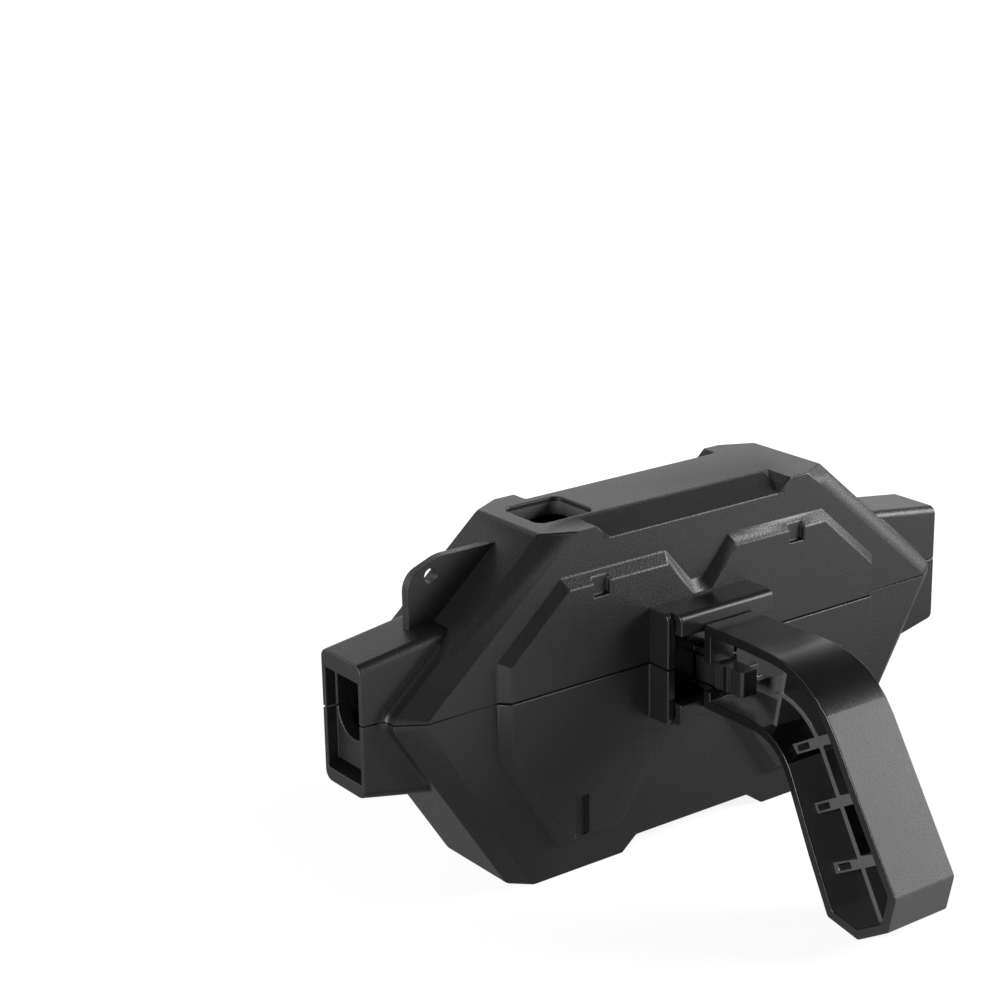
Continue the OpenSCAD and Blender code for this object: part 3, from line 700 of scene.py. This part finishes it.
def sponge_pad(node, body):
    """Crowned block of foam: a cut cube with soft edges and a slightly uneven skin."""
    low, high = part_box(node)
    middle, size = (low + high) / 2, high - low
    deselect_all()
    bpy.ops.mesh.primitive_cube_add(size=1, location=middle, scale=size * PAD_SHARE)
    pad = bpy.context.object
    pad.name = node + "_foam"
    settle(pad)
    edit(pad)
    bpy.ops.mesh.select_all(action="SELECT")
    bpy.ops.mesh.bevel(offset=PAD_EDGE_R * MM, segments=PAD_EDGE_SEGMENTS, affect="EDGES")
    bpy.ops.mesh.select_all(action="SELECT")
    bpy.ops.mesh.subdivide(number_cuts=PAD_CUTS)
    leave_edit()
    for vert in pad.data.vertices:
        share = Vector([(vert.co[k] - middle[k]) / (size[k] / 2) for k in range(3)])
        vert.co.z -= PAD_CROWN * MM * (share.x ** 2 + share.y ** 2) / 2 * share.z
        jitter = noise.noise(vert.co * SKIN_WAVES_TO_METRE) * SKIN_JITTER * MM
        vert.co -= share.normalized() * abs(jitter)
    hold(pad)
    bpy.ops.object.shade_smooth_by_angle(angle=SMOOTH_ANGLE)
    finish_piece(pad, body, sponge_foam, node)


sponge_pad("sponge_upper", "lid")
sponge_pad("sponge_lower", "case")


# Finish of the plain nodes

FINISH_BY_WORD = (("hub", brush_grey), ("side_brush", brush_grey), ("axle", pin_steel),
                  ("pin", pin_steel), ("magnet", magnet_nickel), ("bristles", bristle_nylon),
                  ("sponge", sponge_foam), ("handle", handle_black),
                  ("release_lever", lever_black))
for name, node in nodes.items():
    material = next((finish for word, finish in FINISH_BY_WORD if word in name), case_black)
    node.data.materials.clear()
    node.data.materials.append(material)


# Floor, light and camera, whose sizes and places are in metres

FLOOR_SIZE = 6
FLOOR_GAP = 0.0002
FLOOR_TONE = 0.24
# Glow of the floor as the camera sees it, near the cleaner and added far off, by distance
CAMERA_GLOW = (0.88, 0.12)
GLOW_DISTANCE = (0.1, 0.42)
# Glow of the floor in reflections, behind and added in front, by y
BOUNCED_GLOW = (0.22, 0.75)
FRONT_EDGE_Y = (-0.17, -0.05)

LAMP_AIM = Vector((0, -0.03, 0))
# Light behind the cleaner, by the direction's y and z, and the faint light from all round
BAND_Y = (0.0, 0.45)
BAND_Z = (0.40, 0.66)
BAND_LEVEL = 1.5
ROOM_LEVEL = 0.045

CAMERA_AT = (-0.41226, -0.48815, 0.24282)
CAMERA_RIGHT = (0.804, -0.5944, -0.0176)
CAMERA_UP = (0.1936, 0.2336, 0.9529)
CAMERA_BACK = (-0.5622, -0.7695, 0.3028)
CAMERA_LENS = 82.07
SENSOR_WIDTH = 36


def pale_floor(name):
    """White to the camera, with the object's shadow left on it; dimmer in reflections near the
    object, where the object itself keeps the light off."""
    f = Finish(bpy.data.materials.new(name))
    spot, (_, y, _) = f.place()
    away = f.node("ShaderNodeVectorMath", {"operation": "LENGTH"}, spot, out=1)
    far = f.ramp(away, *GLOW_DISTANCE, 0.0, 1.0)
    ahead = f.ramp(y, *FRONT_EDGE_Y, 1.0, 0.0)
    path = f.node("ShaderNodeLightPath")
    rays = {o.name: Value(f, o) for o in path.socket.node.outputs}
    bounced = (rays["Is Glossy Ray"] + rays["Is Transmission Ray"]).held()
    glow = ((far * CAMERA_GLOW[1] + CAMERA_GLOW[0]) * rays["Is Camera Ray"]
            + (ahead * BOUNCED_GLOW[1] + BOUNCED_GLOW[0]) * bounced)
    matt = f.node("ShaderNodeBsdfDiffuse", {}, grey(FLOOR_TONE))
    light = f.node("ShaderNodeEmission", {}, grey(1), glow)
    both = f.node("ShaderNodeAddShader", {}, matt, light)
    f.node("ShaderNodeOutputMaterial", {}, both)
    return f.owner


def studio_world(name):
    """White to the camera; a white band low behind the cleaner, and little light elsewhere."""
    f = Finish(bpy.data.worlds.new(name))
    _, (_, y, z) = f.place("Generated")
    rear = f.ramp(y, *BAND_Y, 0.0, 1.0)
    low = f.ramp(z, *BAND_Z, 1.0, 0.0)
    seen = f.node("ShaderNodeLightPath", out="Is Camera Ray")
    level = (rear * low * BAND_LEVEL + ROOM_LEVEL) * (1 - seen) + seen
    sky = f.node("ShaderNodeBackground", {}, grey(1), level)
    f.node("ShaderNodeOutputWorld", {}, sky)
    return f.owner


def soft_lamp(name, direction, distance, width, height, power):
    data = bpy.data.lights.new(name, "AREA")
    data.shape = "RECTANGLE"
    data.size = width
    data.size_y = height
    data.energy = power
    lamp = bpy.data.objects.new(name, data)
    bpy.context.scene.collection.objects.link(lamp)
    away = Vector(direction).normalized()
    lamp.location = LAMP_AIM + away * distance
    lamp.rotation_mode = "QUATERNION"
    lamp.rotation_quaternion = away.to_track_quat("Z", "Y")


def photo_camera(name):
    data = bpy.data.cameras.new(name)
    data.lens = CAMERA_LENS
    data.sensor_width = SENSOR_WIDTH
    camera = bpy.data.objects.new(name, data)
    bpy.context.scene.collection.objects.link(camera)
    rows = zip(CAMERA_RIGHT, CAMERA_UP, CAMERA_BACK, CAMERA_AT)
    camera.matrix_world = Matrix((*rows, (0, 0, 0, 1)))
    return camera


deselect_all()
bpy.ops.mesh.primitive_plane_add(size=FLOOR_SIZE, location=(0, 0, cad_low.z - FLOOR_GAP))
floor = bpy.context.object
floor.name = "floor"
settle(floor)
floor.data.materials.append(pale_floor("floor_white"))

bpy.context.scene.world = studio_world("studio")
soft_lamp("key", direction=(0.82, -0.47, 0.34), distance=1.2, width=0.6, height=0.45, power=18)
soft_lamp("left_fill", direction=(-1.0, -0.12, 0.16), distance=1.1, width=0.4, height=0.4,
          power=11)
bpy.context.scene.camera = photo_camera("camera")
bpy.context.scene.view_settings.view_transform = "Standard"
